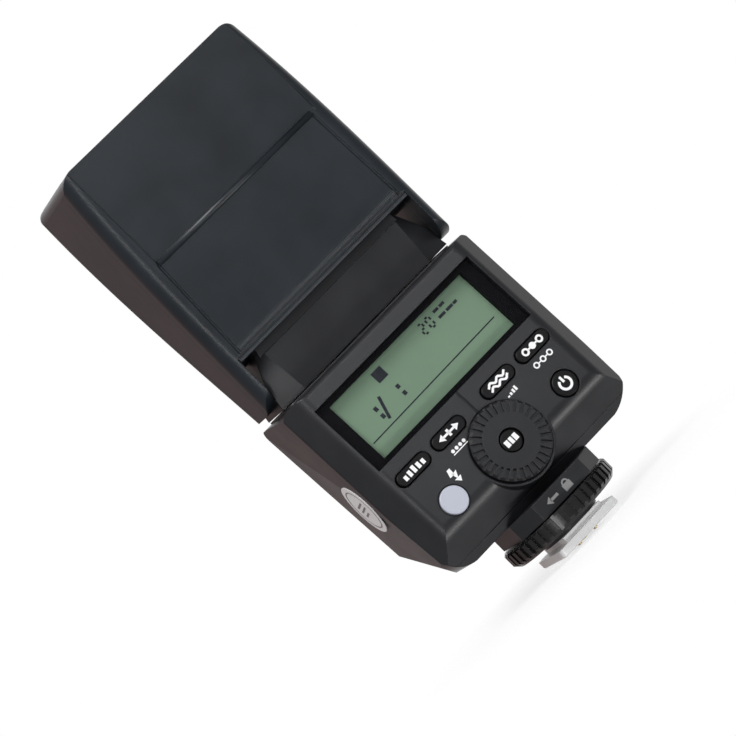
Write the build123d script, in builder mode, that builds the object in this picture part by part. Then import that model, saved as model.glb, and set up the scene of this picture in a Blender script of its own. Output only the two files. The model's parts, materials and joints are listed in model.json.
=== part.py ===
"""A small camera flash: body with rear controls, swivelling neck, tilting zoom head and a locking shoe foot.

Millimetres. The origin is the centre of the shoe foot's underside. +X is to the right as seen from behind,
where the controls are, +Y is forwards to the subject and +Z is up. The head points straight up at rest.
"""

from build123d import *
import os
from math import cos, radians, sin, tan

os.makedirs("parts", exist_ok=True)

# ------------------------------------------------------------------ driving dimensions
WALL = 1.8  # moulded shells
GAP = 0.3  # play round anything that moves

# body
BODY_HALF = 31.2
BODY_LOW = 14.0
BODY_TOP = 67.5
BODY_FRONT = 24.4
PANEL_LEAN = 7.6  # degrees: the control panel leans forwards towards its top
PANEL_REAR = -13.6  # the panel's line carried down to the body's underside
SCOOP_HIGH = 9.5  # the panel turns forwards over this height above the underside
SCOOP_DEEP = 6.5
BEVEL = 5.0  # the rear shell's side bevel, across and deep
SIDE_DRAFT = 4.4  # degrees: the side walls close in towards the front
# two flats on each lower front corner, by two points on the front face (x, z) and one behind them (x, y, z)
CORNER_SLANT = ((28.27, 50.0), (26.2, 14.0), (29.77, -3.6, 14.0))
CORNER_FACET = ((26.8, 25.0), (20.6, 14.0), (30.0, -6.0, 17.5))

# liquid crystal display window, on the panel
LCD_Z = 53.42
LCD_WIDE, LCD_TALL = 51.6, 19.7
VIEW_WIDE, VIEW_TALL = 44.6, 16.9

# controls, measured along the panel from the middle of the window: across, up
DIAL_UP = -26.4
DIAL_R = 9.5
DIAL_FACE_R = 6.7
DIAL_PROUD = 1.5
DIAL_TEETH = 30
HUB_R = 5.0
SET_R = 2.65
POWER_AT, POWER_R = (19.0, -26.2), 3.1
TEST_AT, TEST_R = (-19.0, -26.3), 3.35
PILL_UP = -15.0
PILLS = {"mode_button": -20.2, "zoom_button": -8.4, "sync_button": 8.4, "group_button": 20.2}
PILL_WIDE, PILL_TALL = 9.8, 3.3
BUTTON_PROUD = 0.6
KEY_LIP = 0.8  # how far the flange behind a key reaches past it
TRAVEL = 0.5

# neck and head
SEAM_Z = 68.2  # underside of the neck
NECK_LEVELS = [(SEAM_Z, 27.9, 21.1), (75.0, 26.8, 21.7), (81.6, 23.7, 22.2), (99.0, 23.7, 22.2)]
NECK_REAR = 0.5
NECK_FLANK = 2.3  # how far the slanted flanks run forwards
NECK_STEP_Z = 80.2  # the neck's rear face is set back above this height
BARREL_R = 10.0
HUB_OUT, TILT_HUB_R = 27.8, 7.0
PIVOT_Y = NECK_REAR + BARREL_R
PIVOT_Z = 88.0
PIN_R = 4.0
RUNNING = 0.05  # radial play of a shaft in its bore
HEAD_TOP = 140.0
HEAD_REAR = -1.7
HEAD_EDGE_Z = 84.0
HEAD_HALF = [(66.0, 31.1), (104.0, 30.6), (124.0, 29.7), (HEAD_TOP, 28.3)]  # height, half width
HEAD_FRONT_LOW, HEAD_FRONT_TOP = 20.7, 35.4
HEAD_ROUND = 3.8
EAR_Y, EAR_Z, EAR_LOW, EAR_HALF, EAR_R = 9.5, 81.5, 69.7, 11.7, 8.0  # middle, top, tip, half depth, corner
EAR_INSIDE = 28.2
FACE_HALF_LOW, FACE_HALF_TOP = 26.7, 25.6  # half the flat part of the rear face, at its ends
COVER_Y = 4.0  # joint between the head's rear cover and its housing
FACE_STEP_Z = 111.2
BEADS = [(0.8, -1.35, FACE_STEP_Z, 25.5), (0.7, -1.3, 85.3, 26.6), (0.6, -1.1, 82.95, 28.0)]  # radius, depth, height, half length
LENS_HALF = 24.5
LENS_LOW, LENS_HIGH = 9.0, 32.2
ROD_X, ROD_Y, ROD_R = 22.6, 19.0, 1.0
SCREW_X, SCREW_Y, SCREW_R = -16.0, 8.4, 1.2

# shoe
FOOT_WIDE, FOOT_DEEP, FOOT_THICK = 18.6, 18.0, 2.0
STEM_HALF = 6.2
RING_R, RING_LOW, RING_TOP = 15.9, 4.8, 9.3
RING_RIDGES = 44
NECK_SCREW_R = 8.0

# cells
CELL_R, CELL_LONG = 7.25, 50.5
CELL_Y = 13.9
CELL_Z = (37.3, 52.3)
DOOR_Y, DOOR_Z = (5.0, 18.6), (28.6, 61.2)


# ------------------------------------------------------------------ shared places and helpers
LEAN = radians(PANEL_LEAN)
PANEL_OUT = Vector(0, -cos(LEAN), sin(LEAN))
PANEL_ALONG = Vector(0, sin(LEAN), cos(LEAN))


def panel_y(z):
    """Where the control panel's plane stands at height z."""
    return PANEL_REAR + tan(LEAN) * (z - BODY_LOW)


PANEL = Plane(origin=(0, panel_y(LCD_Z), LCD_Z), x_dir=(1, 0, 0), z_dir=PANEL_OUT)
DIAL_PLANE = Plane(origin=PANEL.from_local_coords((0, DIAL_UP, 0)), x_dir=(1, 0, 0), z_dir=PANEL_OUT)


def slab(x, y, z, mode=Mode.ADD):
    """A box between three pairs of limits."""
    middle = Vector(*(sum(pair) / 2 for pair in (x, y, z)))
    with Locations(middle):
        Box(x[1] - x[0], y[1] - y[0], z[1] - z[0], mode=mode)


def bar(radius, start, end, mode=Mode.ADD):
    """A round bar between two points."""
    run = Vector(*end) - Vector(*start)
    with BuildSketch(Plane(origin=start, z_dir=run)) as shape:
        Circle(radius)
    extrude(shape.sketch, amount=run.length, mode=mode)


def panel_disc(place, radius, low, high, mode=Mode.ADD):
    """A disc square to the panel, between two heights over it."""
    with BuildSketch(PANEL.offset(low)) as shape:
        with Locations(place):
            Circle(radius)
    extrude(shape.sketch, amount=high - low, mode=mode)


def panel_pill(place, wide, tall, low, high, mode=Mode.ADD):
    """A rounded key shape square to the panel, between two heights over it."""
    with BuildSketch(PANEL.offset(low)) as shape:
        with Locations(place):
            SlotOverall(wide, tall)
    extrude(shape.sketch, amount=high - low, mode=mode)


def panel_plate(wide, tall, low, high, mode=Mode.ADD):
    """A rectangle about the window's middle, between two heights over the panel."""
    with BuildSketch(PANEL.offset(low)) as shape:
        Rectangle(wide, tall)
    extrude(shape.sketch, amount=high - low, mode=mode)


# ------------------------------------------------------------------ body shells
def body_form(inset):
    """The body's outer form with every wall moved inwards by inset."""
    side = [
        (panel_y(BODY_LOW) + SCOOP_DEEP, BODY_LOW),
        (panel_y(BODY_LOW + SCOOP_HIGH), BODY_LOW + SCOOP_HIGH),
        (panel_y(BODY_TOP), BODY_TOP),
        (BODY_FRONT, BODY_TOP),
        (BODY_FRONT, BODY_LOW),
    ]
    deep = BODY_FRONT - PANEL_REAR + BEVEL
    closing = tan(radians(SIDE_DRAFT)) * (deep - BEVEL)
    plan = [
        (BODY_HALF - BEVEL, 0),
        (BODY_HALF, BEVEL),
        (BODY_HALF - closing, deep),
    ]
    mirrored = [(-x, y) for x, y in reversed(plan)]
    with BuildPart() as form:
        with BuildSketch(Plane.YZ) as profile:
            Polygon(*side, align=None)
            corners = profile.vertices()
            fillet(corners.group_by(Axis.X)[-1], radius=3.0)
            fillet(profile.vertices().sort_by(Axis.X)[0], radius=6.0)
            fillet(profile.vertices().group_by(Axis.Y)[-1].sort_by(Axis.X)[0], radius=1.2)
            if inset:
                offset(amount=-inset)
        extrude(amount=BODY_HALF + 1, both=True)
        with BuildSketch(Plane.XZ) as outline:
            with Locations((0, (BODY_LOW + BODY_TOP) / 2)):
                Rectangle(2 * BODY_HALF + 0.4, BODY_TOP - BODY_LOW + 0.2)
            fillet(outline.vertices().group_by(Axis.Y)[0], radius=9.0)
            fillet(outline.vertices().group_by(Axis.Y)[-1], radius=2.5)
            if inset:
                offset(amount=-inset)
        extrude(amount=60, both=True, mode=Mode.INTERSECT)
        with BuildSketch(Plane(origin=PANEL.origin, x_dir=(1, 0, 0), z_dir=PANEL_ALONG)) as over:
            Polygon(*plan, *mirrored, align=None)
            fillet(over.vertices().group_by(Axis.Y)[0], radius=4.0)
            fillet(over.vertices().sort_by(Axis.X)[0], radius=0.8)
            fillet(over.vertices().sort_by(Axis.X)[-1], radius=0.8)
            if inset:
                offset(amount=-inset)
        extrude(amount=90, both=True, mode=Mode.INTERSECT)
        for side in (-1, 1):
            for high, low, rear in (CORNER_SLANT, CORNER_FACET):
                top = Vector(side * (high[0] - inset), BODY_FRONT, high[1])
                down = Vector(side * (low[0] - high[0]), 0, low[1] - high[1])
                along = Vector(side * (rear[0] - low[0]), rear[1] - BODY_FRONT, rear[2] - low[1])
                split(bisect_by=Plane(origin=top, x_dir=down, z_dir=along.cross(down) * side), keep=Keep.BOTTOM)
    return form.part


body_outer = body_form(0)
body_inner = body_form(WALL)
split_plane = PANEL.offset(-BEVEL)
SWIVEL_R = 7.0
BOSS_R = 10.4
SENSOR_X, SENSOR_Z, SENSOR_R = 18.6, 22.5, 2.2
USB_X = (-20.5, -12.5)

with BuildPart() as rear_shell:
    add(body_outer)
    panel_disc((0, DIAL_UP), BOSS_R, -8, 0)
    add(body_inner, mode=Mode.SUBTRACT)
    split(bisect_by=split_plane, keep=Keep.TOP)
    panel_plate(LCD_WIDE, LCD_TALL, -WALL - 1, 1, mode=Mode.SUBTRACT)
    panel_disc((0, DIAL_UP), DIAL_R + GAP, -0.7, 1, mode=Mode.SUBTRACT)
    panel_disc((0, DIAL_UP), HUB_R + RUNNING, -8, 1, mode=Mode.SUBTRACT)
    panel_disc((0, DIAL_UP), BOSS_R - WALL, -8, -WALL, mode=Mode.SUBTRACT)
    for place, radius in ((POWER_AT, POWER_R), (TEST_AT, TEST_R)):
        panel_disc(place, radius + GAP, -8, 1, mode=Mode.SUBTRACT)
        panel_disc(place, radius + KEY_LIP + GAP, -8, -WALL, mode=Mode.SUBTRACT)
    for across in PILLS.values():
        panel_pill((across, PILL_UP), PILL_WIDE + 2 * GAP, PILL_TALL + 2 * GAP, -8, 1, mode=Mode.SUBTRACT)
    with BuildSketch(PANEL.offset(-0.35)):
        with Locations((0, (DIAL_UP + DIAL_R - LCD_TALL / 2) / 2)):
            Rectangle(0.45, -DIAL_UP - DIAL_R - LCD_TALL / 2)
    extrude(amount=1, mode=Mode.SUBTRACT)

with BuildPart() as front_shell:
    add(body_outer)
    add(body_inner, mode=Mode.SUBTRACT)
    split(bisect_by=split_plane, keep=Keep.BOTTOM)
    with BuildSketch(Plane.XY.offset(BODY_TOP - 1)):
        with Locations((0, PIVOT_Y)):
            RectangleRounded(55.6, 2 * BARREL_R, 3)
    extrude(amount=SEAM_Z - GAP - BODY_TOP + 1)
    bar(SWIVEL_R + RUNNING, (0, PIVOT_Y, 60), (0, PIVOT_Y, 70), mode=Mode.SUBTRACT)
    slab((24, 40), (DOOR_Y[0] - GAP, DOOR_Y[1] + GAP), (DOOR_Z[0] - GAP, DOOR_Z[1] + GAP), mode=Mode.SUBTRACT)
    slab((-14.2, 14.2), (20, 30), (17.8, 27.2), mode=Mode.SUBTRACT)
    bar(SENSOR_R, (SENSOR_X, 20, SENSOR_Z), (SENSOR_X, 30, SENSOR_Z), mode=Mode.SUBTRACT)
    slab((USB_X[0] - 0.2, USB_X[1] + 0.2), (8.8, 12.2), (12, 17), mode=Mode.SUBTRACT)
    bar(NECK_SCREW_R - 1, (0, 0, 13), (0, 0, 17), mode=Mode.SUBTRACT)


# ------------------------------------------------------------------ window and display
with BuildPart() as lcd_window:
    panel_plate(LCD_WIDE - 0.2, LCD_TALL - 0.2, -1.6, -0.8)

with BuildPart() as lcd_frame:
    panel_plate(LCD_WIDE - 0.2, LCD_TALL - 0.2, -3.3, -1.65)
    panel_plate(VIEW_WIDE + 3, LCD_TALL + 1.2, -3.3, -WALL - 0.05)
    panel_plate(VIEW_WIDE, VIEW_TALL, -3.4, 0, mode=Mode.SUBTRACT)

with BuildPart() as lcd_module:
    panel_plate(VIEW_WIDE + 3, VIEW_TALL + 2.4, -5.9, -3.35)

BOARD_TOP, BOARD_THICK = -6.4, 1.2
with BuildPart() as control_board:
    with BuildSketch(PANEL.offset(BOARD_TOP - BOARD_THICK)):
        with Locations((0, -12)):
            Rectangle(50, 38)
    extrude(amount=BOARD_THICK)

# ------------------------------------------------------------------ keys and their switches
KEY_FOOT = -3.6  # underside of a key's stem, over the panel
SWITCH_TOP = KEY_FOOT - TRAVEL - 0.2
FLANGE_TOP, FLANGE_LOW = -WALL - 0.15, -WALL - 0.95
pill_keys = {}
for name, across in PILLS.items():
    with BuildPart() as key:
        panel_pill((across, PILL_UP), PILL_WIDE, PILL_TALL, FLANGE_TOP, BUTTON_PROUD)
        fillet(key.faces().sort_by(Axis.Y)[0].edges(), radius=0.35)
        panel_pill((across, PILL_UP), PILL_WIDE, PILL_TALL + 2 * KEY_LIP, FLANGE_LOW, FLANGE_TOP)
        panel_disc((across, PILL_UP), 1.2, KEY_FOOT, FLANGE_LOW)
    pill_keys[name] = key


def round_key(place, radius, proud, edge):
    """A round key with a retaining flange and a stem."""
    with BuildPart() as key:
        panel_disc(place, radius, FLANGE_TOP, proud)
        fillet(key.faces().sort_by(Axis.Y)[0].edges(), radius=edge)
        panel_disc(place, radius + KEY_LIP, FLANGE_LOW, FLANGE_TOP)
        panel_disc(place, 1.2, KEY_FOOT, FLANGE_LOW)
    return key


power_button = round_key(POWER_AT, POWER_R, 0.3, 0.4)
test_button = round_key(TEST_AT, TEST_R, 0.5, 0.3)

key_places = [(across, PILL_UP) for across in PILLS.values()] + [POWER_AT, TEST_AT]
with BuildPart() as tact_switches:
    with BuildSketch(PANEL.offset(BOARD_TOP)):
        with Locations(*key_places):
            RectangleRounded(4.2, 4.2, 0.4)
    extrude(amount=1.2)
    with BuildSketch(PANEL.offset(BOARD_TOP)):
        with Locations(*key_places):
            Circle(1.1)
    extrude(amount=SWITCH_TOP - BOARD_TOP)

# ------------------------------------------------------------------ select dial and the key in its middle
with BuildPart() as select_dial:
    with BuildSketch(DIAL_PLANE.offset(-0.5)):
        Circle(DIAL_R)
    extrude(amount=DIAL_PROUD + 0.5)
    rim = select_dial.faces().sort_by(Axis.Y)[0].edges()
    chamfer(rim, length=0.5)
    with BuildSketch(DIAL_PLANE.offset(DIAL_PROUD)):
        with PolarLocations((DIAL_FACE_R + DIAL_R) / 2 + 0.15, DIAL_TEETH):
            Rectangle(DIAL_R - DIAL_FACE_R + 0.3, 0.8)
    extrude(amount=-0.55, mode=Mode.SUBTRACT)
    with BuildSketch(DIAL_PLANE.offset(-3.6)):
        Circle(HUB_R)
    extrude(amount=3.2)
    with BuildSketch(DIAL_PLANE.offset(-4)):
        Circle(SET_R + GAP)
    extrude(amount=8, mode=Mode.SUBTRACT)

with BuildPart() as dial_clip:
    with BuildSketch(DIAL_PLANE.offset(-3.0)):
        Circle(HUB_R + 1.3)
        Circle(HUB_R, mode=Mode.SUBTRACT)
    extrude(amount=0.8)

with BuildPart() as set_button:
    with BuildSketch(DIAL_PLANE.offset(-4.4)):
        Circle(SET_R)
    extrude(amount=4.4 + DIAL_PROUD - 0.2)
    fillet(set_button.faces().sort_by(Axis.Y)[0].edges(), radius=0.4)
    with BuildSketch(DIAL_PLANE.offset(-4.8)):
        Circle(HUB_R - 0.4)
    extrude(amount=0.8)

with BuildPart() as dial_encoder:
    with BuildSketch(DIAL_PLANE.offset(BOARD_TOP)):
        Circle(HUB_R + 2.4)
        Circle(HUB_R + 1.5, mode=Mode.SUBTRACT)
    extrude(amount=2.6)
    with BuildSketch(DIAL_PLANE.offset(BOARD_TOP)):
        Circle(2.2)
    extrude(amount=0.9)

# ------------------------------------------------------------------ inside the body
with BuildPart() as main_board:
    slab((-25, 25), (2.6, 4.0), (22.5, 61))

with BuildPart() as battery_tray:
    slab((-26.9, 25.8), (5.3, 22.4), (28.9, 61))
    slab((-26.2, 26), (6.3, 21.5), (29.9, 60), mode=Mode.SUBTRACT)
    slab((-22, 22), (21, 23), (32, 58), mode=Mode.SUBTRACT)
    add(body_form(WALL + 0.1), mode=Mode.INTERSECT)

with BuildPart() as battery_cells:
    for z in CELL_Z:
        bar(CELL_R, (-24.6, CELL_Y, z), (CELL_LONG - 25.4, CELL_Y, z))
        bar(2.7, (CELL_LONG - 25.4, CELL_Y, z), (CELL_LONG - 24.6, CELL_Y, z))

with BuildPart() as battery_contacts:
    for z in CELL_Z:
        slab((-26.2, -25.7), (CELL_Y - 5, CELL_Y + 5), (z - 5, z + 5))
        with BuildSketch(Plane.YZ.offset(-25.7)):
            with Locations((CELL_Y, z)):
                Circle(3.4)
                Circle(2.4, mode=Mode.SUBTRACT)
        extrude(amount=1.1)

with BuildPart() as inverter_transformer:
    slab((10, 21), (4.0, 13), (18.5, 27))
    slab((11.2, 19.8), (4.0, 14.2), (19.8, 25.7))

with BuildPart() as af_lamp:
    slab((-9, 9), (4.0, 14), (19, 26))
    for x in (-4.5, 4.5):
        bar(2.5, (x, 14, 22.5), (x, 19, 22.5))

with BuildPart() as af_window:
    slab((-14, 14), (21.6, BODY_FRONT), (18, 27))
    fillet(af_window.edges().filter_by(Axis.Y), radius=1.2)

with BuildPart() as sensor_window:
    bar(SENSOR_R, (SENSOR_X, 20.6, SENSOR_Z), (SENSOR_X, BODY_FRONT, SENSOR_Z))

with BuildPart() as usb_port:
    slab(USB_X, (9, 12), (14.3, 20))
    slab((USB_X[0] + 1, USB_X[1] - 1), (9.8, 11.2), (14, 18), mode=Mode.SUBTRACT)


OVER = Plane(origin=PANEL.origin, x_dir=(1, 0, 0), z_dir=PANEL_ALONG)  # across, deep, along the panel
LABEL_R, LABEL_Y, LABEL_Z = 7.0, 4.8, 39.4
label_place = OVER.to_local_coords(Vector(0, LABEL_Y, LABEL_Z))
draft = radians(SIDE_DRAFT)
label_x = -BODY_HALF + tan(draft) * (label_place.Y - BEVEL)
wall_out = OVER.from_local_coords((-cos(draft), sin(draft), 0)) - OVER.origin
label_plane = Plane(
    origin=OVER.from_local_coords((label_x, label_place.Y, label_place.Z)), x_dir=PANEL_ALONG, z_dir=wall_out
)
with BuildPart() as side_label:
    with BuildSketch(label_plane):
        Circle(LABEL_R)
    extrude(amount=0.12)

# ------------------------------------------------------------------ battery door in the right-hand wall
# the hinge line is level and lies in the middle of the drafted wall, just above the door's lower edge
HINGE_UP = 0.9


def wall_point(y, z, side, inwards=0.0):
    """A point on the drafted side wall, side being -1 for left and 1 for right."""
    over = OVER.to_local_coords(Vector(0, y, z))
    x = BODY_HALF - tan(draft) * (over.Y - BEVEL) - inwards / cos(draft)
    return Vector(side * x, y, z)


hinge_low = wall_point(DOOR_Y[0], DOOR_Z[0] + HINGE_UP, 1, WALL / 2)
hinge_high = wall_point(DOOR_Y[1], DOOR_Z[0] + HINGE_UP, 1, WALL / 2)
hinge_run = (hinge_high - hinge_low).normalized()
latch_place = wall_point((DOOR_Y[0] + DOOR_Y[1]) / 2, DOOR_Z[1] - 5, 1)
latch_plane = Plane(origin=latch_place, x_dir=hinge_run, z_dir=hinge_run.cross(Vector(0, 0, 1)))

with BuildPart() as battery_door:
    add(body_outer)
    add(body_inner, mode=Mode.SUBTRACT)
    slab((24, 40), DOOR_Y, (DOOR_Z[0] + HINGE_UP, DOOR_Z[1]), mode=Mode.INTERSECT)
    bar(WALL / 2 - 0.02, hinge_low, hinge_high)
    with BuildSketch(latch_plane.offset(-0.8)):
        Rectangle(7, 7)
    extrude(amount=2, mode=Mode.SUBTRACT)

with BuildPart() as door_latch:
    with BuildSketch(latch_plane.offset(-0.75)):
        with Locations((0, 1.3)):
            RectangleRounded(6.4, 3.8, 0.5)
    extrude(amount=0.95)
    with BuildSketch(latch_plane.offset(0.1)):
        with GridLocations(0, 1.1, 1, 3):
            with Locations((0, 1.3)):
                Rectangle(5.2, 0.45)
    extrude(amount=0.45)

# ------------------------------------------------------------------ shoe mount, foot, ring and pins
BLOCK_LOW = RING_TOP + 0.3
BLOCK_HALF, BLOCK_FACE_HALF = 13.2, 7.9
STEM_TOP = 3.4
INSERT_HALF_X, INSERT_HALF_Y = 4.0, 6.0
FOOT_SCREWS = [(x, y) for x in (-5.4, 5.4) for y in (-4.6, 4.6)]
CONTACTS = [(x, y) for x in (-2.65, 2.65) for y in (-3.4, 3.4)]
LOCK_PIN_AT, LOCK_PIN_R = (0, 6.9), 0.7

with BuildPart() as shoe_mount:
    with BuildSketch(Plane.XY.offset(BLOCK_LOW)) as block:
        Rectangle(2 * BLOCK_HALF, 2 * BLOCK_HALF)
        chamfer(block.vertices(), length=BLOCK_HALF - BLOCK_FACE_HALF)
    extrude(amount=BODY_LOW - BLOCK_LOW)
    with BuildSketch(Plane.XY.offset(STEM_TOP)):
        Circle(NECK_SCREW_R)
    extrude(amount=BLOCK_LOW - STEM_TOP)
    slab((-INSERT_HALF_X, INSERT_HALF_X), (-5.2, 5.2), (STEM_TOP - 1, 12.5), mode=Mode.SUBTRACT)
    bar(LOCK_PIN_R + RUNNING, (*LOCK_PIN_AT, 0), (*LOCK_PIN_AT, 9), mode=Mode.SUBTRACT)
    with BuildSketch(Plane.XY.offset(STEM_TOP)):
        with Locations(*FOOT_SCREWS):
            Circle(0.65)
    extrude(amount=5, mode=Mode.SUBTRACT)

with BuildPart() as shoe_foot:
    with BuildSketch():
        RectangleRounded(FOOT_WIDE, FOOT_DEEP, 1.2)
    extrude(amount=FOOT_THICK)
    chamfer(shoe_foot.edges().group_by(Axis.Z)[0], length=0.3)
    slab((-STEM_HALF, STEM_HALF), (-8, 8), (FOOT_THICK, STEM_TOP))
    slab((-INSERT_HALF_X, INSERT_HALF_X), (-INSERT_HALF_Y, INSERT_HALF_Y), (-1, 5), mode=Mode.SUBTRACT)
    bar(LOCK_PIN_R + RUNNING, (*LOCK_PIN_AT, -1), (*LOCK_PIN_AT, 9), mode=Mode.SUBTRACT)
    with Locations(*[(x, y, 0) for x, y in FOOT_SCREWS]):
        Cylinder(0.65, 20, mode=Mode.SUBTRACT)
        Cylinder(1.2, 2, mode=Mode.SUBTRACT)

with BuildPart() as foot_screws:
    with BuildSketch(Plane.XY.offset(0.2)):
        with Locations(*FOOT_SCREWS):
            Circle(1.15)
            RegularPolygon(0.45, 6, mode=Mode.SUBTRACT)
    extrude(amount=0.8)
    with BuildSketch(Plane.XY.offset(0.9)):
        with Locations(*FOOT_SCREWS):
            Circle(0.65)
    extrude(amount=7)

with BuildPart() as foot_insulator:
    slab((-INSERT_HALF_X, INSERT_HALF_X), (-INSERT_HALF_Y, INSERT_HALF_Y), (0.1, 2.2))
    with Locations(*[(x, y, 0) for x, y in CONTACTS]):
        Cylinder(0.65, 10, mode=Mode.SUBTRACT)
    with Locations((0, 0, 0)):
        Cylinder(1.45, 10, mode=Mode.SUBTRACT)

with BuildPart() as contact_pins:
    for x, y in CONTACTS:
        bar(0.6, (x, y, -0.9), (x, y, 3.0))
        bar(0.9, (x, y, 2.4), (x, y, 3.0))
    bar(1.4, (0, 0, -0.9), (0, 0, 3.0))
    bar(1.7, (0, 0, 2.4), (0, 0, 3.0))
    fillet(contact_pins.faces().sort_by(Axis.Z)[:5].edges(), radius=0.35)

with BuildPart() as lock_pin:
    bar(LOCK_PIN_R, (*LOCK_PIN_AT, 0.1), (*LOCK_PIN_AT, 7.2))
    fillet(lock_pin.edges().sort_by(Axis.Z)[0], radius=0.3)

with BuildPart() as clamp_plate:
    with BuildSketch(Plane.XY.offset(RING_LOW + 0.1)):
        Circle(12.6)
        Circle(NECK_SCREW_R + RUNNING, mode=Mode.SUBTRACT)
    extrude(amount=1.2)

with BuildPart() as lock_ring:
    with BuildSketch(Plane.XY.offset(RING_LOW)):
        Circle(RING_R)
    extrude(amount=RING_TOP - RING_LOW)
    chamfer(lock_ring.edges().group_by(Axis.Z)[0], length=1.2)
    chamfer(lock_ring.edges().group_by(Axis.Z)[-1], length=0.5)
    bar(13.0, (0, 0, RING_LOW - 1), (0, 0, RING_LOW + 1.5), mode=Mode.SUBTRACT)
    bar(NECK_SCREW_R + RUNNING, (0, 0, 0), (0, 0, 12), mode=Mode.SUBTRACT)
    with BuildSketch(Plane.XY.offset(RING_LOW + 0.6)):
        with PolarLocations(RING_R, RING_RIDGES):
            Rectangle(1.3, 1.05)
    extrude(amount=RING_TOP, mode=Mode.SUBTRACT)

# ------------------------------------------------------------------ neck
def neck_form(inset):
    """The neck's outer form with every wall moved inwards by inset."""
    with BuildPart() as form:
        for z, half, flat in NECK_LEVELS:
            near, far = NECK_REAR, NECK_REAR + 2 * BARREL_R
            right = [(flat, near), (half, near + NECK_FLANK), (half, far - NECK_FLANK), (flat, far)]
            with BuildSketch(Plane.XY.offset(z)):
                Polygon(*right, *[(-x, y) for x, y in reversed(right)], align=None)
                if inset:
                    offset(amount=-inset)
        loft(ruled=True)
        with BuildSketch(Plane.YZ):
            with Locations((PIVOT_Y, (SEAM_Z + PIVOT_Z) / 2)):
                Rectangle(2 * BARREL_R, PIVOT_Z - SEAM_Z)
            with Locations((PIVOT_Y, PIVOT_Z)):
                Circle(BARREL_R)
            if inset:
                offset(amount=-inset)
        extrude(amount=40, both=True, mode=Mode.INTERSECT)
    return form.part


neck_inner = neck_form(WALL)
neck_split = Plane(origin=(0, PIVOT_Y, 0), x_dir=(1, 0, 0), z_dir=(0, 1, 0))

with BuildPart() as neck_whole:
    add(neck_form(0))
    bar(SWIVEL_R, (0, PIVOT_Y, 62.4), (0, PIVOT_Y, SEAM_Z + 1))
    slab((-24, 24), (NECK_REAR - 1, NECK_REAR + 1), (NECK_STEP_Z, 99), mode=Mode.SUBTRACT)
    for side in (-1, 1):
        bar(TILT_HUB_R, (side * 22, PIVOT_Y, PIVOT_Z), (side * HUB_OUT, PIVOT_Y, PIVOT_Z))
    add(neck_inner, mode=Mode.SUBTRACT)
    bar(SWIVEL_R - 2, (0, PIVOT_Y, 60), (0, PIVOT_Y, SEAM_Z + 4), mode=Mode.SUBTRACT)
    bar(PIN_R + 0.02, (-40, PIVOT_Y, PIVOT_Z), (40, PIVOT_Y, PIVOT_Z), mode=Mode.SUBTRACT)

with BuildPart() as neck_rear_shell:
    add(neck_whole.part)
    split(bisect_by=neck_split, keep=Keep.BOTTOM)

with BuildPart() as neck_front_shell:
    add(neck_whole.part)
    split(bisect_by=neck_split, keep=Keep.TOP)

with BuildPart() as swivel_clip:
    with BuildSketch(Plane.XY.offset(63.0)):
        with Locations((0, PIVOT_Y)):
            Circle(SWIVEL_R + 2.2)
            Circle(SWIVEL_R + 0.02, mode=Mode.SUBTRACT)
    extrude(amount=1.0)

with BuildPart() as tilt_pins:
    for side in (-1, 1):
        bar(PIN_R, (side * 21.2, PIVOT_Y, PIVOT_Z), (side * 29.5, PIVOT_Y, PIVOT_Z))
        bar(PIN_R + 1.2, (side * 21.2, PIVOT_Y, PIVOT_Z), (side * 21.8, PIVOT_Y, PIVOT_Z))

with BuildPart() as friction_washers:
    for side in (-1, 1):
        bar(PIN_R + 2.4, (side * HUB_OUT, PIVOT_Y, PIVOT_Z), (side * (HUB_OUT + 0.3), PIVOT_Y, PIVOT_Z))
    bar(PIN_R + 0.02, (-40, PIVOT_Y, PIVOT_Z), (40, PIVOT_Y, PIVOT_Z), mode=Mode.SUBTRACT)

with BuildPart() as main_capacitor:
    bar(7.8, (-17, PIVOT_Y, PIVOT_Z), (17, PIVOT_Y, PIVOT_Z))
    fillet(main_capacitor.edges(), radius=0.8)

# ------------------------------------------------------------------ head
HEAD_END_R = 4.5
LENS_SEAT = 137.2


def head_front(z):
    """How far forward the head reaches at height z."""
    along = (z - HEAD_EDGE_Z) / (HEAD_TOP - HEAD_EDGE_Z)
    return HEAD_FRONT_LOW + along * (HEAD_FRONT_TOP - HEAD_FRONT_LOW)


def head_form(inset):
    """The head's outer form with every wall moved inwards by inset."""
    with BuildPart() as form:
        for z, half in HEAD_HALF:
            with BuildSketch(Plane.XY.offset(z)):
                with Locations((0, (HEAD_REAR + head_front(z)) / 2)):
                    RectangleRounded(
                        2 * (half - inset), head_front(z) - HEAD_REAR - 2 * inset, HEAD_ROUND - inset
                    )
        loft()
    return form.part


def hinge_room(grow):
    """Profile of the space that the neck turns in, under the head."""
    with BuildSketch(Plane.YZ) as room:
        Polygon(
            (-4, 60),
            (-4, HEAD_EDGE_Z + 3.07),
            (HEAD_REAR + 1.2, HEAD_EDGE_Z - 1.6),
            (NECK_REAR - 0.5, HEAD_EDGE_Z - 1.6),
            (NECK_REAR - 0.5, PIVOT_Z),
            (PIVOT_Y, PIVOT_Z),
            (PIVOT_Y, PIVOT_Z + BARREL_R + 0.5),
            (50, PIVOT_Z + BARREL_R + 0.5),
            (50, 60),
            align=None,
        )
        with Locations((PIVOT_Y, PIVOT_Z)):
            Circle(BARREL_R + 0.5)
        if grow:
            offset(amount=grow)
    return room.sketch


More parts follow.
